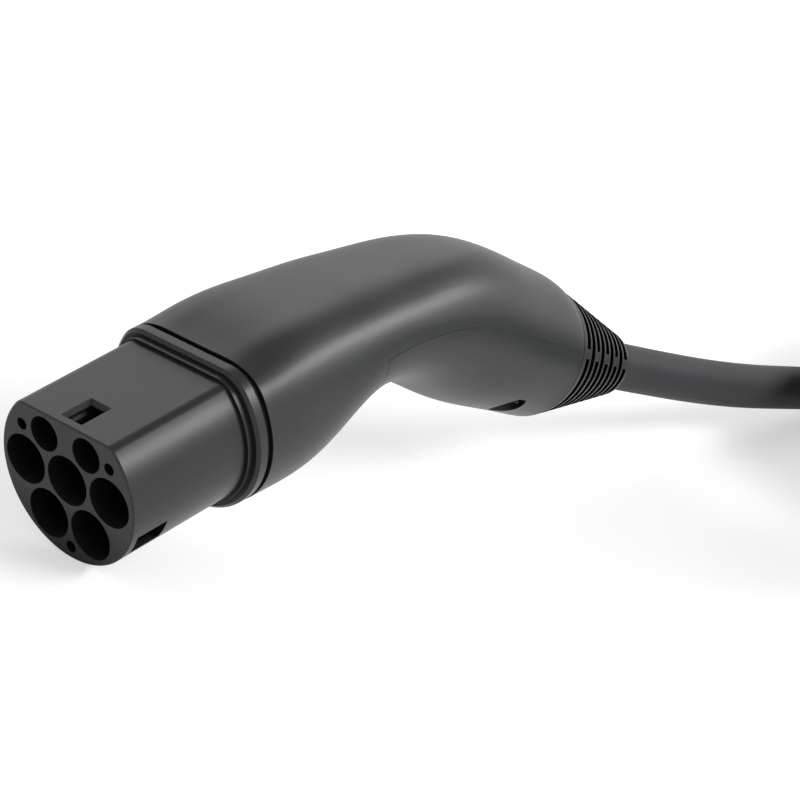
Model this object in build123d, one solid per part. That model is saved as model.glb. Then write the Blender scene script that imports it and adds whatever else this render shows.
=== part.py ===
from build123d import *
import os
from math import cos, hypot, pi, radians, sin, sqrt, tan

# Charging lead for an electric car: a seven-way connector with a swan-neck handle, its cable, and
# the plug for the wall box on the far end.
# Each handle is modelled with +X along its mating axis, from the contact face into the body, and
# +Z towards its flat top, and is then laid down where it rests. Millimetres throughout.

# Contact layout
contact_pitch = 17.5
row_drop = contact_pitch * sqrt(3) / 2
signal_height = 12.4
power_bore_radius = 8.1
signal_bore_radius = 5.65
guide_hole_radius = 1.95
guide_hole_spread = 18.2
guide_hole_height = 11.9
guide_hole_drop = 23.2
guide_hole_depth = 10.0

# Nose of the connector
nose_radius = 27.5
nose_flat = 19.6
nose_corner = 4.0
nose_length = 46.0
nose_chamfer = 0.5
nose_wall = 2.1
face_thickness = 3.0
tube_wall = 1.2
carrier_set_back = 4.0
window_length = 12.0
window_width = 8.6
window_start = 3.0
side_window_angle = 30.0

# Shroud of the plug
shroud_wall = 2.6
shroud_clearance = 0.7
shroud_corner = 6.5
plug_flange_radius = 33.5
plug_flange_flat = 24.6
pin_recess = 9.0
pin_clearance = 0.1
pin_base_step = 0.6
floor_overlap = 0.5
pin_tip_round = 1.2

# Flange and collar
bead_radius = 28.6
bead_flat = 20.6
bead_width = 2.0
flange_radius = 31.0
flange_flat = 22.5
flange_corner = 11.0
flange_chamfer = 1.0
flange_width = 4.0
groove_width = 1.9
gasket_inset = 1.1
gasket_clearance = 0.05
shell_overhang = 0.25
spigot_clearance = 0.5
spigot_length = 8.5
spigot_corner = 12.0

# Handle shells
shell_wall = 2.6
seam_gap = 0.15
top_crispness = 16
section_points = 20
web_thickness = 2.8
web_lip = 5.2
web_roof = 3.4

# Cable and its exit from the handle
cable_diameter = 16.7
exit_x = 252.0
exit_z = -74.7
exit_drop = 31.0
relief_length = 50.0
relief_tip_radius = 11.2
relief_root_radius = 23.4
relief_tip_round = 1.6
relief_joint = 0.3
relief_neck_length = 7.0
relief_neck_wall = 4.2
relief_neck_clearance = 0.7
relief_core_wall = 1.3
relief_bore_clearance = 0.05
slot_rows = 9
slot_pitch = 5.0
slot_width = 2.6
slot_start = 3.4
slot_bridge = 3.4
slot_bridge_turn = 16.0

# Sockets in the connector
pin_radius_power = 3.0
pin_radius_signal = 1.5
sleeve_wall_power = 1.9
sleeve_wall_signal = 1.4
sleeve_start = 17.0
guard_wall = 1.3
guard_lead = 2.0
slit_width = 0.9
slit_length = 16.0
slit_count = 4
carrier_thickness = 6.0
carrier_clearance = 0.2
retainer_thickness = 3.0
shoulder_width = 1.4
shoulder_length = 2.5
crimp_length = 10.0
crimp_shrink = 0.6
socket_clearance = 0.1

# Screws
retainer_screw_radius = 1.1
retainer_screw_length = 22.0
plug_screw_length = 10.0
insert_screw_radius = 1.5
insert_screw_length = 12.0
insert_screw_ring = 22.6
insert_screw_top = 14.6
cover_screw_radius = 1.75
cover_screw_length = 20.0
cover_screw_back = 70.0
cover_screw_side = 14.0
cover_recess_radius = 5.4
cover_recess_floor = 14.0
cover_post_gap = 0.1
clamp_screw_radius = 1.75
clamp_screw_length = 16.0
head_ratio = 1.8
head_height_ratio = 1.1
lug_wall = 1.7
lug_clearance = 0.3
boss_wall = 2.2
floor_thickness = 3.0

# Cable clamp inside the handle
clamp_back = 85.0
clamp_width = 12.0
clamp_wall = 3.2
clamp_ear = 15.2
clamp_ear_thickness = 4.0
clamp_gap = 1.2
clamp_clearance = 0.05
sheath_inside = 100.0

# Conductors
power_core_radius = 2.35
pilot_core_radius = 0.9
bundle_radius = 4.15
pilot_bundle_radius = 5.75
resistor_radius = 1.3
resistor_length = 6.5
resistor_lead_radius = 0.35
core_clearance = 0.1
core_straight = 8.0
core_run_in = 20.0
core_bend_x = 112.0
core_bend_drop = 0.5
resistor_gap = 2.0
resistor_lead_straight = 3.0
resistor_lead_end = 9.0

# How the connector lies, nose and cable on the floor
rest_pitch = 19.0

# Free cable: from the handle down to the floor and round into the coil
cable_first_run = 48.0
cable_route = [
    (228.0, 0.0, 18.9),
    (270.0, 0.0, 13.9),
    (318.0, 0.0, cable_diameter / 2),
    (344.5, 0.0, cable_diameter / 2),
    (379.3, -9.3, cable_diameter / 2),
]

# Coil of the put-away length: almost eight turns, up to three side by side in three layers
coil_x = 329.0
coil_y = -117.2
coil_inner_turn = 66.8
coil_turns = 7.9
coil_turns_wide = 3
coil_layers = 3
coil_round = 7.0
coil_entry_radius = 90.0
coil_entry_turn = 120.0
coil_exit_turn = 15.0
coil_exit_radius = 105.0
coil_exit_length = 58.0
tie_width = 20.0
tie_thickness = 1.6
tie_place = -110.0

# Cable from the coil's top layer round to the plug, in the coil's own frame
lead_run = 66.3
lead_corners = [(124.3, 105.0, 41.75), (171.2, 58.1, 50.5), (171.2, -8.2, 60.5)]
plug_exit = (58.0, -55.1, 72.1)
plug_tilt = 2.75

os.makedirs("parts", exist_ok=True)


def save(name, shape):
    """Write one sub-part."""
    export_step(shape, f"parts/{name}.step")


def d_outline(radius, flat, corner):
    """Round outline with a flat top, in the Y-Z plane."""
    band = Pos(0, flat - radius) * Rectangle(2 * radius, 2 * radius)
    disc = Circle(radius) & band
    tips = disc.vertices().filter_by(lambda v: v.Y > flat - 0.01)
    return fillet(tips, corner)


def d_prism(radius, flat, corner, start, end):
    """Flat-topped round bar from x = start to x = end."""
    outline = d_outline(radius, flat, corner)
    return extrude(Plane.YZ.offset(start) * outline, end - start)


def rod(radius, y, z, start, end):
    """Round bar along X."""
    return extrude(Plane.YZ.offset(start) * Pos(y, z) * Circle(radius), end - start)


def joined(shapes):
    """Fuse a list of shapes."""
    first, *others = shapes
    return first.fuse(*others) if others else first


power_places = [
    (0.0, 0.0),
    (contact_pitch, 0.0),
    (-contact_pitch, 0.0),
    (contact_pitch / 2, -row_drop),
    (-contact_pitch / 2, -row_drop),
]
power_names = ["earth", "line_1", "neutral", "line_2", "line_3"]
signal_places = [(contact_pitch / 2, signal_height), (-contact_pitch / 2, signal_height)]
signal_names = ["pilot", "proximity"]
guide_places = [
    (guide_hole_spread, guide_hole_height),
    (-guide_hole_spread, guide_hole_height),
    (0.0, -guide_hole_drop),
]

# Places along the mating axis
tube_length = nose_length - carrier_set_back
bead_end = nose_length + bead_width
flange_end = bead_end + flange_width
shell_front = flange_end + groove_width
spigot_end = shell_front + spigot_length
carrier_front = tube_length
carrier_back = carrier_front + carrier_thickness
retainer_front = carrier_back + shoulder_length
retainer_back = retainer_front + retainer_thickness

# Mouth of the shells, which the spigot fits into
mouth_radius = flange_radius + shell_overhang
mouth_flat = flange_flat
spigot_radius = mouth_radius - shell_wall - spigot_clearance
spigot_flat = mouth_flat - shell_wall - spigot_clearance
cavity_radius = nose_radius - nose_wall
cavity_flat = nose_flat - nose_wall
cavity_corner = nose_corner - nose_wall
web_end = spigot_end + web_thickness
insert_screw_places = [
    (0.0, insert_screw_top),
    (insert_screw_ring * cos(radians(30)), -insert_screw_ring * sin(radians(30))),
    (-insert_screw_ring * cos(radians(30)), -insert_screw_ring * sin(radians(30))),
]


def rods(radius, places, start, end):
    """Like round bars along X."""
    return [rod(radius, y, z, start, end) for y, z in places]


def bores(extra, start, end):
    """The seven bores of the contact face, or their tubes if extra is the wall's thickness."""
    power = rods(power_bore_radius + extra, power_places, start, end)
    return power + rods(signal_bore_radius + extra, signal_places, start, end)


def lock_window(turn):
    """One rectangular lock recess through the wall of the nose, turned round the mating axis."""
    height = nose_radius
    block = Box(window_length, window_width, height)
    middle = window_start + window_length / 2
    return Rot(X=turn) * Pos(middle, 0, cavity_flat - 2 * nose_wall + height / 2) * block


def nose_shell():
    """Hollow nose with a tube round each contact, open between the tubes."""
    nose = d_prism(nose_radius, nose_flat, nose_corner, 0, nose_length)
    nose = chamfer(nose.faces().sort_by(Axis.X)[0].edges(), nose_chamfer)
    nose = nose - d_prism(cavity_radius, cavity_flat, cavity_corner, face_thickness, nose_length)
    limit = d_prism(cavity_radius + nose_wall / 2, cavity_flat + nose_wall / 2, nose_corner, 0, tube_length)
    bosses = rods(guide_hole_radius + tube_wall, guide_places, face_thickness, tube_length)
    tubes = joined(bores(tube_wall, face_thickness - 1, tube_length) + bosses) & limit
    side_turn = 90.0 + side_window_angle
    for turn in (0.0, side_turn, -side_turn):
        nose = nose - lock_window(turn)
    nose = nose + tubes
    for cut in bores(0, -1, tube_length + 1):
        nose = nose - cut
    for cut in rods(guide_hole_radius, guide_places, -1, guide_hole_depth):
        nose = nose - cut
    for cut in rods(retainer_screw_radius, guide_places, guide_hole_depth - 1, tube_length + 1):
        nose = nose - cut
    return nose


def rear_half(radius, flat, bead_outer, bead_top):
    """Bead, flange and hollow spigot behind a nose or shroud, with lugs for the insert screws."""
    bead = d_prism(bead_outer, bead_top, flange_corner - 2, nose_length, bead_end)
    flange = d_prism(radius, flat, flange_corner, bead_end, flange_end)
    flange = chamfer(flange.faces().sort_by(Axis.X)[0].edges(), flange_chamfer)
    spigot = d_prism(spigot_radius, spigot_flat, spigot_corner, flange_end, spigot_end)
    body = joined([bead, flange, spigot])
    body = body - d_prism(cavity_radius, cavity_flat, cavity_corner, nose_length - 1, spigot_end + 1)
    lug_radius = insert_screw_radius + lug_wall
    limit = d_prism(spigot_radius, spigot_flat, spigot_corner, carrier_front, spigot_end)
    lugs = rods(lug_radius, insert_screw_places, carrier_back + 1, spigot_end)
    body = body + joined([lug & limit for lug in lugs])
    for cut in rods(insert_screw_radius, insert_screw_places, carrier_back, spigot_end + 1):
        body = body - cut
    return body


def contact_housing():
    """Nose, flange and spigot moulded as one piece."""
    return nose_shell() + rear_half(flange_radius, flange_flat, bead_radius, bead_flat)


def socket_parts(pin_radius, wall):
    """Outer radii of a socket's barrel, its shoulder and its crimp."""
    barrel = pin_radius + wall
    return barrel, barrel + shoulder_width, barrel - crimp_shrink


def socket(pin_radius, wall, core_radius, y, z):
    """A turned socket: slit barrel, shoulder between the two plates, and crimp for the core."""
    barrel, shoulder, crimp = socket_parts(pin_radius, wall)
    crimp_end = retainer_back + crimp_length
    body = rod(barrel, y, z, sleeve_start, retainer_back)
    body = body + rod(shoulder, y, z, carrier_back, retainer_front)
    body = body + rod(crimp, y, z, retainer_back, crimp_end)
    body = body - rod(pin_radius, y, z, sleeve_start - 1, carrier_back - 2 * wall)
    body = body - rod(core_radius, y, z, retainer_back + crimp_shrink, crimp_end + 1)
    middle = sleeve_start + slit_length / 2 - 1
    for turn in range(slit_count // 2):
        slit = Box(slit_length + 2, 4 * barrel, slit_width * pin_radius / pin_radius_power)
        body = body - Pos(middle, y, z) * Rot(X=turn * 360 / slit_count) * slit
    return body


def guard(pin_radius, wall, y, z):
    """Insulating tube that reaches past a socket's end, and its hollow."""
    barrel = socket_parts(pin_radius, wall)[0]
    front = sleeve_start - guard_lead
    tube = rod(barrel + socket_clearance + guard_wall, y, z, front, carrier_front)
    hollow = rod(barrel + socket_clearance, y, z, front - 1, carrier_back + 1)
    return tube, hollow


sockets = [(pin_radius_power, sleeve_wall_power, y, z) for y, z in power_places]
sockets += [(pin_radius_signal, sleeve_wall_signal, y, z) for y, z in signal_places]
plate_radius = cavity_radius - carrier_clearance
plate_flat = cavity_flat - carrier_clearance


def plate(start, end):
    """Inner plate that clears the lugs of the insert screws and takes the retainer screws."""
    body = d_prism(plate_radius, plate_flat, cavity_corner, start, end)
    notch_radius = insert_screw_radius + lug_wall + lug_clearance
    for cut in rods(notch_radius, insert_screw_places, start - 1, end + 1):
        body = body - cut
    for cut in rods(retainer_screw_radius, guide_places, start - 1, end + 1):
        body = body - cut
    return body


def contact_carrier():
    """Plate with seven guard tubes, pushed into the nose from behind."""
    pieces = [guard(*one) for one in sockets]
    body = joined([plate(carrier_front, carrier_back)] + [tube for tube, _ in pieces])
    for _, hollow in pieces:
        body = body - hollow
    return body


def contact_retainer():
    """Plate that locks the shoulders of the contacts, on spacers round its screws."""
    body = plate(retainer_front, retainer_back)
    for pin_radius, wall, y, z in sockets:
        barrel = socket_parts(pin_radius, wall)[0]
        body = body - rod(barrel + socket_clearance, y, z, retainer_front - 1, retainer_back + 1)
    for y, z in guide_places:
        spacer = rod(retainer_screw_radius + boss_wall / 2, y, z, carrier_back, retainer_front)
        body = body + (spacer - rod(retainer_screw_radius, y, z, carrier_back, retainer_front))
    return body


def pin(pin_radius, wall, core_radius, y, z):
    """A turned pin of the plug: rounded tip, thicker base in the floor, shoulder, and crimp for the core."""
    barrel, shoulder, crimp = socket_parts(pin_radius, wall)
    crimp_end = retainer_back + crimp_length
    tip = rod(pin_radius, y, z, pin_recess, carrier_front)
    tip = fillet(tip.faces().sort_by(Axis.X)[0].edges(), pin_tip_round * pin_radius / pin_radius_power)
    body = tip + rod(pin_radius + pin_base_step, y, z, carrier_front, carrier_back)
    body = body + rod(shoulder, y, z, carrier_back, retainer_front)
    body = body + rod(barrel, y, z, retainer_front, retainer_back)
    body = body + rod(crimp, y, z, retainer_back, crimp_end)
    return body - rod(core_radius, y, z, retainer_back + crimp_shrink, crimp_end + 1)


def plug_housing():
    """Shroud round the pins, with the floor that carries them."""
    radius = nose_radius + shroud_clearance
    flat = nose_flat + shroud_clearance
    outer = d_prism(radius + shroud_wall, flat + shroud_wall, shroud_corner, 0, nose_length)
    outer = chamfer(outer.faces().sort_by(Axis.X)[0].edges(), nose_chamfer)
    outer = outer - d_prism(radius, flat, shroud_corner - shroud_wall, -1, carrier_front)
    outer = outer - d_prism(cavity_radius, cavity_flat, cavity_corner, nose_length - 1, nose_length)
    bead_top = plug_flange_flat - flange_chamfer
    rear = rear_half(plug_flange_radius, plug_flange_flat, plug_flange_radius - flange_chamfer, bead_top)
    floor_radius = cavity_radius + floor_overlap
    floor = d_prism(floor_radius, cavity_flat + floor_overlap, cavity_corner, carrier_front, carrier_back)
    body = outer + rear + floor
    for pin_radius, _, y, z in sockets:
        hole_radius = pin_radius + pin_base_step + pin_clearance
        body = body - rod(hole_radius, y, z, carrier_front - 1, carrier_back + 1)
    for cut in rods(retainer_screw_radius, guide_places, carrier_front + 1, carrier_back + 1):
        body = body - cut
    return body


def screw(radius, length):
    """Pan-head screw along +Z with its head seat at z = 0 and its tip below."""
    head_height = head_height_ratio * radius
    body = Pos(0, 0, -length / 2) * Cylinder(radius, length)
    body = body + Pos(0, 0, head_height / 2) * Cylinder(head_ratio * radius, head_height)
    drive = extrude(Pos(0, 0, head_height) * RegularPolygon(0.8 * radius, 6), -0.6 * head_height)
    return body - drive


def axial_screws(radius, length, places, seat):
    """Like screws along X, heads to the rear."""
    return Compound([Pos(seat, y, z) * Rot(Y=90) * screw(radius, length) for y, z in places])


def collar_gasket():
    """Soft ring in the groove between the flange and the shells."""
    inset = gasket_inset
    ring = d_prism(mouth_radius - inset, mouth_flat - inset, flange_corner, flange_end, shell_front)
    radius = spigot_radius + gasket_clearance
    flat = spigot_flat + gasket_clearance
    return ring - d_prism(radius, flat, spigot_corner, flange_end - 1, shell_front + 1)


# Handle
exit_back_x = exit_x - relief_length * cos(radians(exit_drop))
exit_back_z = exit_z + relief_length * sin(radians(exit_drop))
grip_radius = relief_root_radius

# Stations along the handle, from the collar over the neck to the grip's end: x and z of the middle,
# downward tilt in degrees, half width, height above and depth below the middle, flatness of the top
handle_stations = [
    (shell_front, 0.0, 0.0, mouth_radius, mouth_flat, mouth_radius, 0.72),
    (61.0, -0.2, 1.0, mouth_radius + 0.15, mouth_flat + 0.9, mouth_radius + 0.05, 0.74),
    (70.0, -0.5, 2.0, mouth_radius + 0.25, mouth_flat + 2.0, mouth_radius - 0.05, 0.76),
    (88.0, 0.0, 5.0, mouth_radius - 1.05, mouth_flat + 0.8, mouth_radius - 2.65, 0.80),
    (106.0, 2.0, 9.0, mouth_radius - 3.05, mouth_flat - 3.1, mouth_radius - 8.25, 0.84),
    (124.0, 0.0, 15.0, mouth_radius - 4.35, mouth_flat - 3.6, mouth_radius - 11.25, 0.88),
    (142.0, -6.0, 22.0, mouth_radius - 4.95, mouth_flat - 0.3, mouth_radius - 9.65, 0.92),
    (160.0, -15.0, 27.0, grip_radius + 2.3, grip_radius + 2.4, grip_radius + 1.8, 0.97),
    (178.0, -27.5, 30.0, grip_radius + 1.6, grip_radius + 3.6, grip_radius + 2.0, 1.05),
    (194.0, -38.6, exit_drop, grip_radius + 0.8, grip_radius + 2.6, grip_radius + 0.8, 1.15),
    (exit_back_x, exit_back_z, exit_drop, grip_radius, grip_radius, grip_radius, 1.3),
]

# Parting line between the upper shell and the grip cover, in the X-Z plane
seam_points = [
    (109.0, 2.8),
    (126.0, 1.4),
    (141.0, -1.9),
    (154.0, -6.4),
    (171.0, -16.0),
    (190.0, -28.0),
    (216.0, -45.6),
]
cover_front_low = (103.0, -40.0)
outside = 300.0


def section(station, inset):
    """Closed outline of the handle at one station, drawn inside its outer face by the inset."""
    x, z, tilt, half_width, top, bottom, flatness = station
    width = half_width - inset
    upper = top - inset
    lower = bottom - inset
    round_top = upper / flatness * (1 + flatness**top_crispness) ** (1 / top_crispness)
    cut_top = round_top * flatness
    points = []
    for step in range(section_points):
        angle = 2 * pi * step / section_points
        height = round_top if sin(angle) > 0 else lower
        reach = 1 / hypot(cos(angle) / width, sin(angle) / height)
        if sin(angle) > 0.01:
            reach = (reach**-top_crispness + (cut_top / sin(angle)) ** -top_crispness) ** (-1 / top_crispness)
        points.append((reach * cos(angle), reach * sin(angle)))
    slope = radians(tilt)
    plane = Plane(origin=(x, 0, z), x_dir=(0, 1, 0), z_dir=(cos(slope), 0, -sin(slope)))
    return plane * make_face(Spline(points, periodic=True))


def handle_hull(inset):
    """The handle's volume inside its outer face by the inset."""
    return loft([section(station, inset) for station in handle_stations])


def cover_region(gap):
    """Everything below the parting line, pulled back by the gap."""
    seam = Spline(*[(x + gap, z - gap) for x, z in seam_points])
    low_x, low_z = cover_front_low
    beyond = [(outside, (seam @ 1).Y), (outside, -outside), (low_x, -outside), (low_x + gap, low_z)]
    outline = seam + Polyline(seam @ 1, *beyond, seam @ 0)
    face = make_face(Plane.XZ * outline)
    return extrude(face, outside, both=True)


def exit_frame(back):
    """Frame on the cable's axis inside the handle: Z along the cable, Y upwards."""
    slope = radians(exit_drop)
    origin = (exit_x - back * cos(slope), 0, exit_z + back * sin(slope))
    return Plane(origin=origin, x_dir=(0, 1, 0), z_dir=(cos(slope), 0, -sin(slope))).location


def post(back, radius, side, low, high):
    """Round post square to the cable's axis, from low to high above it."""
    return exit_frame(back) * Pos(side, (low + high) / 2, 0) * Rot(X=90) * Cylinder(radius, high - low)


def posts(back, radius, side, low, high):
    """The same post at the left and the right."""
    return [post(back, radius, y, low, high) for y in (side, -side)]


hull = handle_hull(0.0)
shell = hull - handle_hull(shell_wall)
wall_middle = handle_hull(shell_wall / 2)
clamp_ear_top = clamp_gap / 2 + clamp_ear_thickness


def web():
    """Rib inside the mouth that the spigot is screwed to."""
    slab = Pos((spigot_end + web_end) / 2, 0, 0) * Box(web_thickness, outside, outside)
    flat = mouth_flat - shell_wall - web_roof
    opening = d_prism(mouth_radius - shell_wall - web_lip, flat, spigot_corner, spigot_end, web_end)
    rib = (wall_middle & slab) - opening
    pads = rods(insert_screw_radius + 2 * lug_wall, insert_screw_places, spigot_end, web_end)
    rib = rib + joined([pad & wall_middle for pad in pads])
    for cut in rods(insert_screw_radius, insert_screw_places, spigot_end - 1, web_end + 1):
        rib = rib - cut
    return rib


def upper_shell():
    """Collar, neck and upper half of the grip, with the web and four screw posts."""
    body = (shell - cover_region(0.0)) + web()
    reach = relief_root_radius + boss_wall
    low = -(cover_recess_floor - floor_thickness) + cover_post_gap
    bosses = posts(cover_screw_back, cover_screw_radius + boss_wall, cover_screw_side, low, reach)
    bosses += posts(clamp_back, clamp_screw_radius + boss_wall, clamp_ear, clamp_ear_top, reach)
    for one in bosses:
        body = body + (one & wall_middle)
    tip = cover_screw_length - cover_recess_floor
    for cut in posts(cover_screw_back, cover_screw_radius, cover_screw_side, low - 1, tip):
        body = body - cut
    tip = clamp_screw_length - clamp_ear_top
    for cut in posts(clamp_back, clamp_screw_radius, clamp_ear, 0, tip):
        body = body - cut
    return body


def grip_cover():
    """Under half of the grip, with a round recess over each screw."""
    body = shell & cover_region(seam_gap)
    low = -relief_root_radius - boss_wall
    wall = cover_recess_radius + lug_wall
    high = -(cover_recess_floor - floor_thickness)
    for one in posts(cover_screw_back, wall, cover_screw_side, low, high):
        body = body + (one & wall_middle)
    deep = low - relief_root_radius
    floor = -cover_recess_floor
    for cut in posts(cover_screw_back, cover_recess_radius, cover_screw_side, deep, floor):
        body = body - cut
    for cut in posts(cover_screw_back, cover_screw_radius, cover_screw_side, deep, high + 1):
        body = body - cut
    return body


def cross_screws(back, radius, length, side, seat):
    """Two screws square to the cable's axis, heads below."""
    one = Rot(X=90) * screw(radius, length)
    return Compound([exit_frame(back) * Pos(y, seat, 0) * one for y in (side, -side)])


def clamp_half(sign):
    """Half of the clamp round the cable's sheath: above the axis for +1, below it for -1."""
    inner = cable_diameter / 2 + clamp_clearance
    outline = Circle(inner + clamp_wall)
    width = 2 * (clamp_ear + clamp_screw_radius + boss_wall)
    outline = outline + Rectangle(width, 2 * clamp_ear_top)
    outline = outline - Circle(inner)
    outline = outline & Pos(0, sign * (clamp_gap / 2 + width)) * Rectangle(2 * width, 2 * width)
    body = extrude(outline, clamp_width / 2, both=True)
    body = exit_frame(clamp_back) * body
    for cut in posts(clamp_back, clamp_screw_radius, clamp_ear, -width, width):
        body = body - cut
    return body


def strain_relief():
    """Tapered soft sleeve with rows of slots, bridged in turn at the sides and at top and bottom."""
    bore = cable_diameter / 2 + relief_bore_clearance
    root = relief_root_radius
    neck = root - shell_wall - relief_neck_clearance
    start = -relief_length + relief_joint
    back = -relief_length - relief_neck_length
    inner = neck - relief_neck_wall
    profile = Polyline(
        (bore, start + relief_neck_wall),
        (inner, start + relief_neck_wall),
        (inner, back),
        (neck, back),
        (neck, start),
        (root, start),
        (relief_tip_radius, 0),
        (bore, 0),
        close=True,
    )
    body = revolve(Plane.XZ * make_face(profile), Axis.Z)
    rims = body.edges().filter_by(GeomType.CIRCLE)
    body = fillet(rims.filter_by(lambda rim: abs(rim.radius - relief_tip_radius) < 0.01), relief_tip_round)
    core = cable_diameter / 2 + relief_core_wall
    for row in range(slot_rows):
        ring = Cylinder(2 * root, slot_width) - Cylinder(core, slot_width)
        turn = slot_bridge_turn if row % 2 == 0 else 90.0
        for angle in (turn, 180.0 - turn if row % 2 == 0 else -turn):
            ring = ring - Rot(Z=angle) * Pos(2 * root, 0, 0) * Box(4 * root, slot_bridge, slot_width)
        body = body - Pos(0, 0, start + slot_start + row * slot_pitch + slot_width / 2) * ring
    return exit_frame(0) * body


def bend_radii(points):
    """As large an arc at each corner as its two runs allow."""
    radii = []
    for before, here, after in zip(points, points[1:], points[2:]):
        arrive = Vector(*here) - Vector(*before)
        leave = Vector(*after) - Vector(*here)
        half_turn = radians(arrive.get_angle(leave)) / 2
        radii.append(0.45 * min(arrive.length, leave.length) / tan(half_turn))
    return radii


def tube(points, diameter):
    """Round cord along straight runs joined by tangent arcs."""
    path = FilletPolyline(*points, radius=bend_radii(points))
    start = Plane(origin=path @ 0, z_dir=path % 0)
    return sweep(start * Circle(diameter / 2), path=path), path.length


def sheath_end():
    """End of the cable's sheath, from inside the handle to the strain relief's tip."""
    return exit_frame(sheath_inside / 2) * Cylinder(cable_diameter / 2, sheath_inside)


bundle_turns = [90.0, 18.0, 162.0, -54.0, -126.0]
pilot_turn = 54.0


def core(y, z, radius, turn, ring):
    """One insulated core, from its crimp to its place in the cable."""
    side = ring * cos(radians(turn))
    lift = ring * sin(radians(turn))
    start = retainer_back + crimp_shrink + core_clearance
    entry = exit_frame(sheath_inside) * Pos(side, lift, 0)
    ahead = exit_frame(sheath_inside + core_run_in) * Pos(side, lift, 0)
    middle = (core_bend_x, (y + side) / 2, (z + lift) / 2 - core_bend_drop)
    points = [(start, y, z), (retainer_back + crimp_length + core_straight, y, z), middle]
    points += [tuple(ahead.position), tuple(entry.position)]
    return tube(points, 2 * radius)[0]


def coding_resistor():
    """Resistor behind the proximity contact, with its leads."""
    y, z = signal_places[1]
    start = retainer_back + crimp_shrink + core_clearance
    body_start = retainer_back + crimp_length + resistor_gap
    body_end = body_start + resistor_length
    body = rod(resistor_radius, y, z, body_start, body_end)
    body = body + rod(resistor_lead_radius, y, z, start, body_start)
    corner = body_end + resistor_lead_straight
    bent = [(body_end - 1, y, z), (corner, y, z), (body_end + resistor_lead_end, y / 2, z / 2)]
    return body + tube(bent, 2 * resistor_lead_radius)[0]


def handle_pieces():
    """What the connector and the plug have alike: shells, seals, screws, clamp, sleeve and cores."""
    pieces = {
        "collar_gasket": collar_gasket(),
        "contact_retainer": contact_retainer(),
        "retainer_screws": axial_screws(
            retainer_screw_radius, retainer_screw_length, guide_places, retainer_back
        ),
        "insert_screws": axial_screws(insert_screw_radius, insert_screw_length, insert_screw_places, web_end),
        "upper_shell": upper_shell(),
        "grip_cover": grip_cover(),
        "cover_screws": cross_screws(
            cover_screw_back, cover_screw_radius, cover_screw_length, cover_screw_side, -cover_recess_floor
        ),
        "clamp_seat": clamp_half(1),
        "clamp_strap": clamp_half(-1),
        "clamp_screws": cross_screws(
            clamp_back, clamp_screw_radius, clamp_screw_length, clamp_ear, -clamp_ear_top
        ),
        "strain_relief": strain_relief(),
        "sheath_end": sheath_end(),
        "coding_resistor": coding_resistor(),
    }
    return pieces


def cores():
    """The cable's six insulated cores inside a handle."""
    made = {}
    for name, (y, z), turn in zip(power_names, power_places, bundle_turns):
        made[f"{name}_core"] = core(y, z, power_core_radius, turn, bundle_radius)
    y, z = signal_places[0]
    made["pilot_core"] = core(y, z, pilot_core_radius, pilot_turn, pilot_bundle_radius)
    return made


def contacts(make, suffix):
    """Seven sockets or seven pins, each with a crimp that its core fits."""
    made = {}
    for name, (pin_radius, wall, y, z) in zip(power_names + signal_names, sockets):
        core_radius = power_core_radius if name in power_names else pilot_core_radius
        made[f"{name}_{suffix}"] = make(pin_radius, wall, core_radius + core_clearance, y, z)
    return made


# The connector, laid down with its nose and cable on the floor and the origin under its middle
alike = handle_pieces()
alike_cores = cores()
connector = {"contact_housing": contact_housing(), "contact_carrier": contact_carrier()}
connector.update(contacts(socket, "socket"))
connector.update(alike)
connector.update(alike_cores)
tilted = Rot(Y=-rest_pitch)
box = Compound([tilted * shape for shape in connector.values()]).bounding_box()
lie = Pos(-(box.min.X + box.max.X) / 2, 0, -box.min.Z) * tilted
for name, shape in connector.items():
    save(name, lie * shape)

# Free cable
exit_point = (lie * Pos(exit_x, 0, exit_z)).position
route = [tuple(exit_point), tuple((lie * exit_frame(-cable_first_run)).position)] + cable_route
cable, free_length = tube(route, cable_diameter)
save("cable", cable)

# Coil of one bundle, with the ends that lead into it and out of it
sheath_radius = cable_diameter / 2
bundle = coil_turns_wide * cable_diameter
bundle_height = coil_layers * cable_diameter
coil_middle = coil_inner_turn + (coil_turns_wide - 1) * sheath_radius
coil_axis = Axis((0, 0, 0), (0, 0, 1))


def bundle_section(inset):
    """Outline across the bundle, drawn inside its outer face by the inset."""
    outline = RectangleRounded(bundle - 2 * inset, bundle_height - 2 * inset, coil_round - inset)
    return Plane.XZ * Pos(coil_middle, bundle_height / 2) * outline


tie_sweep = tie_width / coil_middle * 180 / pi
tie = revolve(bundle_section(0) - bundle_section(tie_thickness), coil_axis, tie_sweep)
tie = Rot(Z=tie_place) * tie
coil = revolve(bundle_section(0), coil_axis) - tie
coil_place = Pos(coil_x, coil_y, 0)
last, end = [Vector(*point) for point in cable_route[-2:]]
heading = (end - last).normalized()
inward = Vector(heading.Y, -heading.X, 0)
entry_axis = Axis(tuple(end + inward * coil_entry_radius), (0, 0, -1))
entry = revolve(Plane(origin=end, z_dir=heading) * Circle(sheath_radius), entry_axis, coil_entry_turn)
exit_turned = coil_place * Rot(Z=coil_exit_turn)
top_layer = bundle_height - sheath_radius
leave = exit_turned * (Plane.YZ * Pos(coil_exit_radius, top_layer) * Circle(sheath_radius))
leave = extrude(leave, coil_exit_length)
save("cable_coil", coil_place * coil + entry + leave)
save("coil_tie", coil_place * tie)
coil_length = 2 * pi * coil_turns * coil_middle

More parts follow.
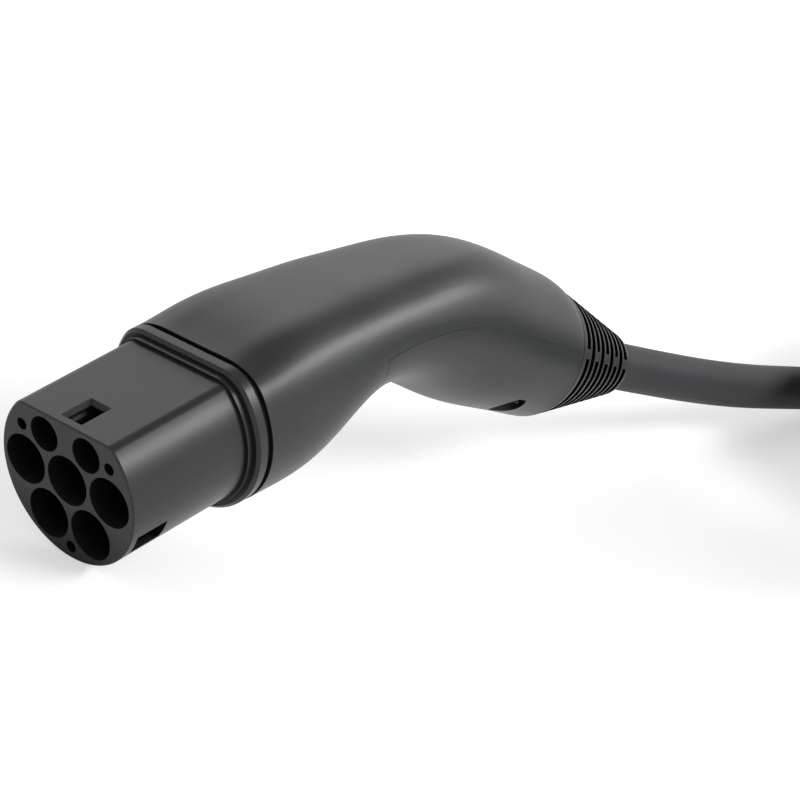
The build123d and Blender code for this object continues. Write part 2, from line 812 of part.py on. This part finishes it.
# The plug lies on its side on the coil; its cable leaves it level with the coil's edge
slope = radians(plug_tilt)
drop = radians(exit_drop)
along = Vector(cos(drop) * cos(slope), -sin(drop) * cos(slope), -sin(slope))
across = Vector(-sin(drop), -cos(drop), 0)
on_side = Plane(origin=plug_exit, x_dir=along, z_dir=across).location
plug_place = exit_turned * on_side * Pos(-exit_x, 0, -exit_z)
plug = {"housing": plug_housing()}
plug.update(contacts(pin, "pin"))
plug.update(alike)
plug.update(alike_cores)
plug["retainer_screws"] = axial_screws(retainer_screw_radius, plug_screw_length, guide_places, retainer_back)
for name, shape in plug.items():
    save(f"plug_{name}", plug_place * shape)

# Cable between the coil and the plug
lead_start = (exit_turned * Pos(coil_exit_length, coil_exit_radius, top_layer)).position
lead_points = [lead_start] + [(exit_turned * Pos(*corner)).position for corner in lead_corners]
lead_points += [(plug_place * exit_frame(-lead_run)).position, (plug_place * exit_frame(0)).position]
lead, lead_length = tube([tuple(point) for point in lead_points], cable_diameter)
save("plug_lead", lead)

stretches = [("cable", route, cable, free_length), ("lead", lead_points, lead, lead_length)]
for name, points, shape, length in stretches:
    bends = [round(radius) for radius in bend_radii([tuple(point) for point in points])]
    print(name, "bend radii", bends)
    print(name, "volume over section times length", shape.volume / (pi * sheath_radius**2 * length))
print("length of cable", free_length + coil_length + lead_length)
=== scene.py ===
import bpy, bmesh
from math import cos, radians, sin
from mathutils import Matrix, Vector


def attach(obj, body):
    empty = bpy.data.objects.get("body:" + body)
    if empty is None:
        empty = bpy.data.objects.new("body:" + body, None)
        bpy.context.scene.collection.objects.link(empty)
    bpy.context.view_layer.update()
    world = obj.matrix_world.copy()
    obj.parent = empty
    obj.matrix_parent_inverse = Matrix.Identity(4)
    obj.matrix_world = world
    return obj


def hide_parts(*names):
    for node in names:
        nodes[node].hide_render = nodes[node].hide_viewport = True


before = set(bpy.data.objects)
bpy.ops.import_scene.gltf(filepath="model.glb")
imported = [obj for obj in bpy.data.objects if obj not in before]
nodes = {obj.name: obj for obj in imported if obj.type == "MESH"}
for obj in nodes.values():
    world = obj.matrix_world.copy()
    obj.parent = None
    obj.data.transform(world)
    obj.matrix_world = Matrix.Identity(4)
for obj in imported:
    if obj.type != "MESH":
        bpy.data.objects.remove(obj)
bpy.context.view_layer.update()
scene = bpy.context.scene
scene.view_settings.view_transform = "Standard"

# Camera: a long lens that looks down on the connector from its nose end, rolled a little,
# as the photograph was taken. Its place and its right and forward directions are metres in
# the part's own frame.
camera = bpy.data.objects.new("camera", bpy.data.cameras.new("camera"))
scene.collection.objects.link(camera)
camera.data.sensor_width = 36.0
camera.data.lens = 147.3
camera.data.clip_end = 50.0
camera_place = (-0.79877, -0.5978, 0.35066)
right = Vector((0.6285, -0.7463, 0.2193)).normalized()
forward = Vector((0.7716, 0.5626, -0.2969))
forward = (forward - right * forward.dot(right)).normalized()
turned = Matrix((right, right.cross(forward), -forward)).transposed().to_4x4()
camera.matrix_world = Matrix.Translation(camera_place) @ turned
scene.camera = camera


# Studio: a sweep of matt white paper under the connector, a white tent with an open, darker roof
# around it, a broad soft lamp behind it and a long strip to its right. The camera, metal and glass
# see the paper and the tent lit up to white; the paper keeps the shadow.
def linear(code):
    """Linear colour of an sRGB hex value."""
    parts = [int(code[i:i + 2], 16) / 255 for i in (0, 2, 4)]
    return [p / 12.92 if p <= 0.04045 else ((p + 0.055) / 1.055) ** 2.4 for p in parts] + [1.0]


def add(tree, kind, settings=None, **links):
    """Adds a node. Settings are its options; links name its inputs, each with a value or an output.

    An input without a name of its own is given by its number, as in _0.
    """
    node = tree.nodes.new(kind)
    for name, value in (settings or {}).items():
        setattr(node, name, value)
    for name, value in links.items():
        key = int(name[1:]) if name[0] == "_" else name.replace("_", " ")
        if isinstance(value, bpy.types.NodeSocket):
            tree.links.new(value, node.inputs[key])
        else:
            node.inputs[key].default_value = value
    return node


def new_material(name):
    """An empty material with a shader and its output."""
    made = bpy.data.materials.new(name)
    made.use_nodes = True
    tree = made.node_tree
    tree.nodes.clear()
    shader = add(tree, "ShaderNodeBsdfPrincipled")
    add(tree, "ShaderNodeOutputMaterial", Surface=shader.outputs[0])
    return made, tree, shader


def seen_directly(tree, low, high):
    """Low for the light on things, high for what the camera, mirrors and glass see."""
    path = add(tree, "ShaderNodeLightPath").outputs
    larger = {"operation": "MAXIMUM"}
    first = add(tree, "ShaderNodeMath", larger, _0=path["Is Camera Ray"], _1=path["Is Glossy Ray"])
    seen = add(tree, "ShaderNodeMath", larger, _0=first.outputs[0], _1=path["Is Transmission Ray"])
    return add(tree, "ShaderNodeMapRange", Value=seen.outputs[0], To_Min=low, To_Max=high).outputs[0]


paper = bpy.data.meshes.new("paper_sweep")
paper.from_pydata([(-4, -4, 0), (5, -4, 0), (5, 4, 0), (-4, 4, 0)], [], [(0, 1, 2, 3)])
paper_sweep = bpy.data.objects.new("paper_sweep", paper)
scene.collection.objects.link(paper_sweep)
white_paper, tree, shader = new_material("white_paper")
shader.inputs["Base Color"].default_value = linear("d2d2d2")
shader.inputs["Roughness"].default_value = 0.9
shader.inputs["Specular IOR Level"].default_value = 0.0
shader.inputs["Emission Color"].default_value = (1.0, 1.0, 1.0, 1.0)
tree.links.new(seen_directly(tree, 0.0, 0.5), shader.inputs["Emission Strength"])
paper.materials.append(white_paper)

world = bpy.data.worlds.new("white_tent")
world.use_nodes = True
tree = world.node_tree
direction = add(tree, "ShaderNodeTexCoord").outputs["Generated"]
upward = add(tree, "ShaderNodeSeparateXYZ", Vector=direction).outputs["Z"]
roof = add(
    tree,
    "ShaderNodeMapRange",
    {"interpolation_type": "SMOOTHSTEP"},
    Value=upward,
    From_Min=0.68,
    From_Max=0.86,
    To_Min=1.0,
    To_Max=0.2,
)
tent_light = seen_directly(tree, 0.75, 1.0)
shaded = add(tree, "ShaderNodeMath", {"operation": "MULTIPLY"}, _0=roof.outputs[0], _1=tent_light)
tent = tree.nodes["Background"]
tent.inputs["Color"].default_value = (1.0, 1.0, 1.0, 1.0)
tree.links.new(shaded.outputs[0], tent.inputs["Strength"])
scene.world = world


def soft_lamp(name, place, target, width, height, power, spill):
    """A rectangular soft lamp turned to a point; spill is the share that lights matt surfaces."""
    lamp = bpy.data.lights.new(name, "AREA")
    lamp.shape = "RECTANGLE"
    lamp.size = width
    lamp.size_y = height
    lamp.energy = power
    lamp.diffuse_factor = spill
    holder = bpy.data.objects.new(name, lamp)
    holder.location = place
    holder.rotation_euler = (Vector(target) - Vector(place)).to_track_quat("-Z", "Y").to_euler()
    scene.collection.objects.link(holder)


soft_lamp("back_lamp", (0.72, 0.95, 1.2), (0.05, 0.0, 0.0), width=1.6, height=1.0, power=4.6, spill=1.0)
soft_lamp("strip_lamp", (0.62, -0.92, 0.78), (0.0, 0.0, 0.05), width=1.3, height=0.26, power=17.0, spill=0.3)


# Nose and the plug's shroud: each is one injection moulding of glass-filled nylon, pushed into the
# handle's collar. Spark-eroded moulds leave a fine matt grain of about a third of a millimetre that
# breaks the sheen up. Bores and grooves are darker through painted shade: the colour and the sheen
# are turned down where other faces are near.
def dull_polymer_painted_shade(name, colour, roughness, grain_mm, depth_mm, sheen=0.3, shade=1.4):
    """A grained dull surface; shade is how fast painted shade darkens it where other faces are near."""
    made, tree, shader = new_material(name)
    base = linear(colour)[:3]
    # Random tone runs from darker to lighter; the third colour, 0.15 of the base, is the painted shade.
    darker, lighter, painted_shade_colour = [[channel * share for channel in base] + [1.0] for share in (0.93, 1.07, 0.15)]
    place = add(tree, "ShaderNodeTexCoord").outputs["Object"]
    noise = add(tree, "ShaderNodeTexNoise", Vector=place, Scale=1000 / grain_mm, Detail=3.0, Roughness=0.6)
    grain = noise.outputs["Fac"]
    cloud = add(tree, "ShaderNodeTexNoise", Vector=place, Scale=35.0, Detail=2.0).outputs["Fac"]
    dyed = add(tree, "ShaderNodeMix", {"data_type": "RGBA"}, _0=cloud, _6=darker, _7=lighter).outputs[2]
    # Painted shade: where other faces are near, the colour and the sheen are darkened.
    nearby = add(tree, "ShaderNodeAmbientOcclusion", {"samples": 8}, Distance=0.018).outputs["AO"]
    open_air = add(tree, "ShaderNodeMath", {"operation": "POWER"}, _0=nearby, _1=shade).outputs[0]
    painted_shade_mix = add(tree, "ShaderNodeMix", {"data_type": "RGBA"}, _0=open_air, _6=painted_shade_colour, _7=dyed)
    tree.links.new(painted_shade_mix.outputs[2], shader.inputs["Base Color"])
    sheen_under_painted_shade = add(tree, "ShaderNodeMapRange", Value=open_air, To_Min=0.02, To_Max=sheen)
    shader.inputs["Specular IOR Level"].default_value = sheen
    tree.links.new(sheen_under_painted_shade.outputs[0], shader.inputs["Specular IOR Level"])
    rough = add(tree, "ShaderNodeMapRange", Value=grain, To_Min=roughness - 0.05, To_Max=roughness + 0.05)
    tree.links.new(rough.outputs[0], shader.inputs["Roughness"])
    bump = add(tree, "ShaderNodeBump", Height=grain, Distance=depth_mm / 1000, Strength=0.5)
    tree.links.new(bump.outputs[0], shader.inputs["Normal"])
    return made


def keep_edges(piece):
    """Shades round faces smooth and keeps edges sharp."""
    for face in piece.data.polygons:
        face.use_smooth = True
    weld = piece.modifiers.new("weld", "WELD")
    weld.merge_threshold = 0.00001
    split = piece.modifiers.new("split", "EDGE_SPLIT")
    split.split_angle = radians(28)


def dress(material, *names):
    """Gives CAD nodes a material."""
    for name in names:
        nodes[name].data.materials.clear()
        nodes[name].data.materials.append(material)
        keep_edges(nodes[name])


def merged_copy(name, *node_names):
    """A new piece made of copies of CAD nodes, with their loose faces joined up."""
    build = bmesh.new()
    for index, node_name in enumerate(node_names):
        first = len(build.faces)
        build.from_mesh(nodes[node_name].data)
        build.faces.ensure_lookup_table()
        for face in build.faces[first:]:
            face.material_index = index
            face.smooth = True
    bmesh.ops.remove_doubles(build, verts=build.verts, dist=0.00001)
    bmesh.ops.dissolve_limit(build, angle_limit=radians(0.5), verts=build.verts, edges=build.edges)
    mesh = bpy.data.meshes.new(name)
    build.to_mesh(mesh)
    build.free()
    piece = bpy.data.objects.new(name, mesh)
    scene.collection.objects.link(piece)
    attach(piece, "root")
    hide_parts(*node_names)
    return piece


nose_nylon = dull_polymer_painted_shade("nose_nylon", "2a2a2b", 0.34, grain_mm=0.35, depth_mm=0.02)
dress(nose_nylon, "plug_housing")
nose_moulding = merged_copy("nose_moulding", "contact_housing")
nose_moulding.data.materials.append(nose_nylon)
soft_edges = nose_moulding.modifiers.new("soft_edges", "BEVEL")
soft_edges.width = 0.0004
soft_edges.segments = 2
soft_edges.limit_method = "ANGLE"
soft_edges.angle_limit = radians(40)
flat_faces = nose_moulding.modifiers.new("flat_faces", "WEIGHTED_NORMAL")
flat_faces.weight = 100
flat_faces.keep_sharp = True

# Bevelled lip of the latch recess in the nose's flat, part of the same nylon moulding: its four
# sides slope inwards, so the two that face the eye catch the light. Its sizes are millimetres in
# the nose's own frame, whose X axis runs back from the middle of the contact face.
face_middle = (-0.129238, 0.0, 0.025839)
nose_droop = radians(-19)
on_nose = Matrix.Translation(face_middle) @ Matrix.Rotation(nose_droop, 4, "Y")
recess_front, recess_back, recess_side = 3.0, 15.0, 4.3
flat_height, slope_foot, lip_foot = 19.58, 18.3, 17.6
slope_width, overlap = 1.3, -0.1
lip_section = (
    (overlap, flat_height),
    (0.0, flat_height),
    (slope_width, slope_foot),
    (slope_width, lip_foot),
    (overlap, lip_foot),
)
lip = bmesh.new()
rings = []
for inset, height in lip_section:
    front, back, side = recess_front + inset, recess_back - inset, recess_side - inset
    corners = [(front, -side), (back, -side), (back, side), (front, side)]
    rings.append([lip.verts.new(on_nose @ (Vector((x, y, height)) / 1000)) for x, y in corners])
for ring, after in zip(rings, rings[1:] + rings[:1]):
    for index in range(4):
        lip.faces.new((ring[index], ring[index - 1], after[index - 1], after[index]))
bmesh.ops.recalc_face_normals(lip, faces=lip.faces)
lip_mesh = bpy.data.meshes.new("recess_lip")
lip.to_mesh(lip_mesh)
lip.free()
recess_lip = bpy.data.objects.new("recess_lip", lip_mesh)
scene.collection.objects.link(recess_lip)
lip_mesh.materials.append(nose_nylon)
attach(recess_lip, "root")

# Plates and cable clamps inside the nose and the handles: black nylon, moulded and held by screws.
# They lie deep behind the bores and show as little more than black.
both = ("", "plug_")
inner_nylon = dull_polymer_painted_shade("inner_nylon", "111213", 0.55, grain_mm=0.35, depth_mm=0.02)
clamped_plates = [end + piece for end in both for piece in ("contact_retainer", "clamp_seat", "clamp_strap")]
dress(inner_nylon, "contact_carrier", *clamped_plates)

# Handles: two shells of polycarbonate blend, moulded with the same fine grain and a little duller
# than the nose. The under half is held by two screws in round recesses.
handle_blend = dull_polymer_painted_shade("handle_blend", "2d2e2f", 0.37, grain_mm=0.35, depth_mm=0.02)
dress(handle_blend, *[end + shell for end in both for shell in ("upper_shell", "grip_cover")])

# Sleeve that keeps the cable from kinking: matt thermoplastic rubber, moulded, slipped over the
# cable and held in the handle's end. Its slots are painted black with strong painted shade, and they
# are a quarter of a millimetre wider at each side than the solid's, as in the photograph.
sleeve_rubber = dull_polymer_painted_shade("sleeve_rubber", "242526", 0.47, grain_mm=0.5, depth_mm=0.02, shade=7.0)
dress(sleeve_rubber, "plug_strain_relief")
sleeve_tip = (0.133353, 0.0, 0.037252)
sleeve_way = Vector((0.97815, 0.0, -0.20791))
first_slot_back, slot_width, slot_pitch, slot_rows = 46.3, 2.6, 5.0, 9
slot_slack = 0.25
kink_sleeve = merged_copy("kink_sleeve", "strain_relief")
for point in kink_sleeve.data.vertices:
    along = (point.co - Vector(sleeve_tip)).dot(sleeve_way) * 1000 + first_slot_back
    for wall, slack in ((0.0, -slot_slack), (slot_width, slot_slack)):
        row = round((along - wall) / slot_pitch)
        if 0 <= row < slot_rows and abs(along - wall - row * slot_pitch) < 0.05:
            point.co += sleeve_way * slack / 1000
kink_sleeve.data.materials.append(sleeve_rubber)
keep_edges(kink_sleeve)

# Collar seals: rings of black silicone, moulded, soft and dull. Each lies in the groove behind
# the flange, against the edge of the collar.
seal_silicone = dull_polymer_painted_shade("seal_silicone", "101011", 0.5, grain_mm=0.5, depth_mm=0.02)
dress(seal_silicone, "collar_gasket", "plug_collar_gasket")


# Contacts: brass, turned and plated with silver that has dulled a little. They are metal, so their
# colour is in the reflection. The retainer plates hold the sockets and the pins by their shoulders.
def plated(name, colour, roughness):
    """A worn metal coat; its roughness varies over about a millimetre."""
    made, tree, shader = new_material(name)
    shader.inputs["Base Color"].default_value = linear(colour)
    shader.inputs["Metallic"].default_value = 1.0
    place = add(tree, "ShaderNodeTexCoord").outputs["Object"]
    worn = add(tree, "ShaderNodeTexNoise", Vector=place, Scale=900.0, Detail=3.0).outputs["Fac"]
    rough = add(tree, "ShaderNodeMapRange", Value=worn, To_Min=roughness - 0.08, To_Max=roughness + 0.08)
    tree.links.new(rough.outputs[0], shader.inputs["Roughness"])
    return made


silver_plate = plated("silver_plate", "c9c6bf", 0.28)
for contact in ("earth", "line_1", "line_2", "line_3", "neutral", "pilot", "proximity"):
    dress(silver_plate, contact + "_socket", "plug_" + contact + "_pin")

# Screws: steel with a clear zinc coat inside the handles, and with a black zinc coat, which looks
# like the plastic around it, where they hold the under half of the handle.
zinc_plate = plated("zinc_plate", "a9abae", 0.34)
black_zinc = plated("black_zinc", "2a2b2d", 0.4)
for end in both:
    dress(zinc_plate, end + "retainer_screws", end + "insert_screws", end + "clamp_screws")
    dress(black_zinc, end + "cover_screws")

# Wires inside the handles: copper strands in coloured PVC, smooth and a little shiny, one colour
# for each conductor, crimped to the contacts. The plug's six are joined into one piece.
core_colours = {
    "earth": "3f9140",
    "line_1": "5b3a21",
    "line_2": "1a1a1b",
    "line_3": "7b7d7f",
    "neutral": "2c66ad",
    "pilot": "d6d4cc",
}
plug_cores = merged_copy("plug_cores", *["plug_" + wire + "_core" for wire in core_colours])
for wire, colour in core_colours.items():
    core_vinyl = dull_polymer_painted_shade(wire + "_vinyl", colour, 0.35, grain_mm=0.8, depth_mm=0.01)
    dress(core_vinyl, wire + "_core")
    plug_cores.data.materials.append(core_vinyl)

# Coding resistors: ceramic rods under a smooth blue-grey lacquer. Each sits behind the proximity
# contact and tells the car how thick the cable is.
resistor_lacquer = dull_polymer_painted_shade("resistor_lacquer", "6f93a3", 0.3, grain_mm=0.6, depth_mm=0.01)
dress(resistor_lacquer, "coding_resistor", "plug_coding_resistor")

# Cable: five power cores and a signal core in a round, matt polyurethane sheath. It leaves the
# sleeve straight, sinks to the floor and is wound up beyond the photograph's edge, three turns wide
# and three layers high, and ends in the plug that lies on the coil.
cable_diameter = 0.0167
coil_middle = Vector((0.329, -0.1172, 0.0))
innermost_turn, turn_width = 66.8, 16.7
turn_places = [(2, 0), (1, 0), (0, 0), (0, 1), (1, 1), (2, 1), (0, 2), (1, 2), (2, 2)]
entry_turns = [(25, 119.0), (45, 121.5), (64, 123.0), (85, 121.5), (105, 116.5), (125, 109.5), (145, 103.0)]
winding_start, first_change, winding_end = 159.35, 200, 360 * 7 + 330
entry_turns.append((winding_start, 100.8))
point_step = 22.5
change_span, far_change_span = 60, 110
arc_bulge = 1 / 0.981
tie_turned, tie_reach = 193.1, 12
tie_lift, tie_pull = 0.0011, 0.00095


def turn_place(turned):
    """Radius in mm and layer of the winding after that many degrees.

    Each turn changes over to its neighbour's place within a short part of a full turn.
    """
    along = (turned - first_change) / 360
    index = 0 if along < 0 else int(along) + 1
    reach, layer = turn_places[index]
    if along >= 0:
        old_reach, old_layer = turn_places[index - 1]
        span = far_change_span if abs(reach - old_reach) > 1 else change_span
        share = min(1.0, (along - int(along)) * 360 / span)
        share = share * share * (3 - 2 * share)
        reach = old_reach + (reach - old_reach) * share
        layer = old_layer + (layer - old_layer) * share
    return innermost_turn + turn_width * reach, layer


def on_coil(turned, radius, lift):
    """A point of the cable's middle line, from its angle in degrees, radius in mm and lift in m."""
    angle = radians(turned)
    spot = Vector((sin(angle), cos(angle), 0)) * radius / 1000
    return tuple(coil_middle + spot + Vector((0, 0, cable_diameter / 2 + lift)))


route = [sleeve_tip, (0.180304, 0, 0.027272), (0.228, 0, 0.0189), (0.270, 0, 0.0139)]
route += [(0.318, 0, 0.00835), (0.3445, 0, 0.00835)]
route += [on_coil(turned, radius, 0.0) for turned, radius in entry_turns]
turned = winding_start + point_step
while turned < winding_end:
    radius, layer = turn_place(turned)
    at_tie = abs((turned - tie_turned + 180) % 360 - 180) < tie_reach
    squeeze = tie_lift - tie_pull * layer if at_tie else 0.0
    route.append(on_coil(turned, radius * arc_bulge, layer * cable_diameter + squeeze))
    turned += point_step
plug_turned = radians(15)
way_out = Matrix.Translation(coil_middle) @ Matrix.Rotation(plug_turned, 4, "Z")
plug_end = Vector((0.058, -0.0551, 0.0721))
plug_way = Vector((0.998834, 0.0, -0.041124))
lead = [(0.0, 0.105, 0.04175), (0.030, 0.105, 0.04175), (0.058, 0.105, 0.04175), (0.1243, 0.105, 0.04175)]
lead += [(0.1712, 0.0581, 0.0505), (0.1712, -0.0082, 0.0605)]
lead += [plug_end + plug_way * 0.0663, plug_end]
route += [tuple(way_out @ Vector(point)) for point in lead]
line = bpy.data.curves.new("charging_cable", "CURVE")
line.dimensions = "3D"
spline = line.splines.new("NURBS")
spline.points.add(len(route) - 1)
for point, place in zip(spline.points, route):
    point.co = (*place, 1.0)
spline.order_u = 3
spline.use_endpoint_u = True
spline.resolution_u = 6
line.bevel_depth = cable_diameter / 2
line.bevel_resolution = 7
line.use_fill_caps = True
charging_cable = bpy.data.objects.new("charging_cable", line)
scene.collection.objects.link(charging_cable)
# The sheath gets only weak painted shade, so it darkens little beside the floor and the coil.
cable_polyurethane = dull_polymer_painted_shade(
    "cable_polyurethane", "39393b", 0.55, grain_mm=0.5, depth_mm=0.02, sheen=0.15, shade=0.5
)
line.materials.append(cable_polyurethane)
dress(cable_polyurethane, "sheath_end", "plug_sheath_end")
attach(charging_cable, "root")
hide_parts("cable", "cable_coil", "plug_lead")

# Tie round the coil: hook-and-loop tape of woven nylon, 20 mm wide, pulled tight round all eight
# turns, with its free end pressed down on the outside and both edges sewn over with nylon thread.
# Its line is given in millimetres from the coil's middle and above the floor.
tape_thickness = 0.0007
tape_steps = range(-10, 11, 2)
corner_radius, corner_steps = 8.7, 8
inner_corner, outer_corner = 66.75, 100.25
low_corner, high_corner = 9.4, 41.0
tape_start, tape_end = 12.0, 40.0
fold_lift, flap_lift = 0.25, 0.73
seam_reach, seam_lift = 8.2, 0.42


def tape_point(around, height, across):
    """A point on the tie, from its distance to the coil's middle, its height and its place across."""
    angle = radians(tie_turned) + across / around
    return coil_middle + Vector((sin(angle) * around, cos(angle) * around, height)) / 1000


tape_line = [(outer_corner + corner_radius, tape_start)]
tape_corners = (
    (outer_corner, high_corner, 0),
    (inner_corner, high_corner, 90),
    (inner_corner, low_corner, 180),
    (outer_corner, low_corner, 270),
)
for around, height, first in tape_corners:
    for step in range(corner_steps + 1):
        angle = radians(first + step * 90 / corner_steps)
        tape_line.append((around + corner_radius * cos(angle), height + corner_radius * sin(angle)))
outside = outer_corner + corner_radius
tape_line.append((outside + fold_lift, tape_start))
tape_line += [(outside + flap_lift, height) for height in (15.0, 28.0, 38.8, tape_end)]
tape = bmesh.new()
rows = []
for around, height in tape_line:
    rows.append([tape.verts.new(tape_point(around, height, across)) for across in tape_steps])
for row, after in zip(rows, rows[1:]):
    for a, b, c, d in zip(row, row[1:], after[1:], after):
        tape.faces.new((a, b, c, d)).smooth = True
bmesh.ops.recalc_face_normals(tape, faces=tape.faces)
tape_mesh = bpy.data.meshes.new("hook_tape_tie")
tape.to_mesh(tape_mesh)
tape.free()
hook_tape_tie = bpy.data.objects.new("hook_tape_tie", tape_mesh)
scene.collection.objects.link(hook_tape_tie)
thick = hook_tape_tie.modifiers.new("thick", "SOLIDIFY")
thick.thickness = tape_thickness
thick.offset = 0.0


def closed_copy(piece):
    """The piece's mesh with its modifiers applied."""
    graph = bpy.context.evaluated_depsgraph_get()
    return bpy.data.meshes.new_from_object(piece.evaluated_get(graph), depsgraph=graph)


def stitched(seam_mesh, length, thickness, spacing, thread):
    """Stitches along the edges of a mesh line, laid by Geometry Nodes; sizes in metres."""
    tree = bpy.data.node_groups.new("stitches", "GeometryNodeTree")
    tree.interface.new_socket("Geometry", in_out="INPUT", socket_type="NodeSocketGeometry")
    sizes = {}
    for name in ("Length", "Thickness", "Spacing"):
        socket = tree.interface.new_socket(name, in_out="INPUT", socket_type="NodeSocketFloat")
        sizes[name] = socket.identifier
    tree.interface.new_socket("Geometry", in_out="OUTPUT", socket_type="NodeSocketGeometry")
    given = add(tree, "NodeGroupInput").outputs
    path = add(tree, "GeometryNodeMeshToCurve", Mesh=given["Geometry"]).outputs[0]
    places = add(tree, "GeometryNodeResampleCurve", {"mode": "LENGTH"}, Curve=path, Length=given["Spacing"])
    tangent = add(tree, "GeometryNodeInputTangent").outputs[0]
    lie = add(tree, "FunctionNodeAlignRotationToVector", {"axis": "X"}, Vector=tangent)
    knot = add(tree, "GeometryNodeMeshUVSphere", Segments=8, Rings=6, Radius=0.5)
    size = add(tree, "ShaderNodeCombineXYZ", X=given["Length"], Y=given["Thickness"], Z=given["Thickness"])
    sewn = add(
        tree,
        "GeometryNodeInstanceOnPoints",
        Points=places.outputs[0],
        Instance=knot.outputs[0],
        Rotation=lie.outputs[0],
        Scale=size.outputs[0],
    )
    real = add(tree, "GeometryNodeRealizeInstances", Geometry=sewn.outputs[0])
    smooth = add(tree, "GeometryNodeSetShadeSmooth", Geometry=real.outputs[0])
    dyed = add(tree, "GeometryNodeSetMaterial", Geometry=smooth.outputs[0], Material=thread)
    add(tree, "NodeGroupOutput", Geometry=dyed.outputs[0])
    seam = bpy.data.objects.new("seam_line", seam_mesh)
    scene.collection.objects.link(seam)
    sewing = seam.modifiers.new("sewing", "NODES")
    sewing.node_group = tree
    for name, value in {"Length": length, "Thickness": thickness, "Spacing": spacing}.items():
        sewing[sizes[name]] = value
    made = closed_copy(seam)
    bpy.data.objects.remove(seam)
    return made


seam_points, seam_edges = [], []
for across in (-seam_reach, seam_reach):
    first = len(seam_points)
    for before, here, after in zip(tape_line, tape_line[1:], tape_line[2:]):
        along = Vector((after[0] - before[0], after[1] - before[1])).normalized()
        around, height = here[0] + seam_lift * along.y, here[1] - seam_lift * along.x
        seam_points.append(tape_point(around, height, across))
    seam_edges += [(index, index + 1) for index in range(first, len(seam_points) - 1)]
seam_mesh = bpy.data.meshes.new("seam_line")
seam_mesh.from_pydata(seam_points, seam_edges, [])
sewing_thread = dull_polymer_painted_shade("sewing_thread", "3a3a3c", 0.6, grain_mm=0.2, depth_mm=0.05)
stitches = stitched(seam_mesh, length=0.0022, thickness=0.0005, spacing=0.0034, thread=sewing_thread)
sewn_tape = bmesh.new()
sewn_tape.from_mesh(closed_copy(hook_tape_tie))
tape_faces = len(sewn_tape.faces)
sewn_tape.from_mesh(stitches)
sewn_tape.faces.ensure_lookup_table()
for face in sewn_tape.faces[tape_faces:]:
    face.material_index = 1
hook_tape_tie.modifiers.clear()
sewn_tape.to_mesh(tape_mesh)
sewn_tape.free()
woven_tape = dull_polymer_painted_shade("woven_tape", "29292b", 0.85, grain_mm=0.8, depth_mm=0.1)
tape_mesh.materials.append(woven_tape)
tape_mesh.materials.append(sewing_thread)
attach(hook_tape_tie, "root")
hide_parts("coil_tie")
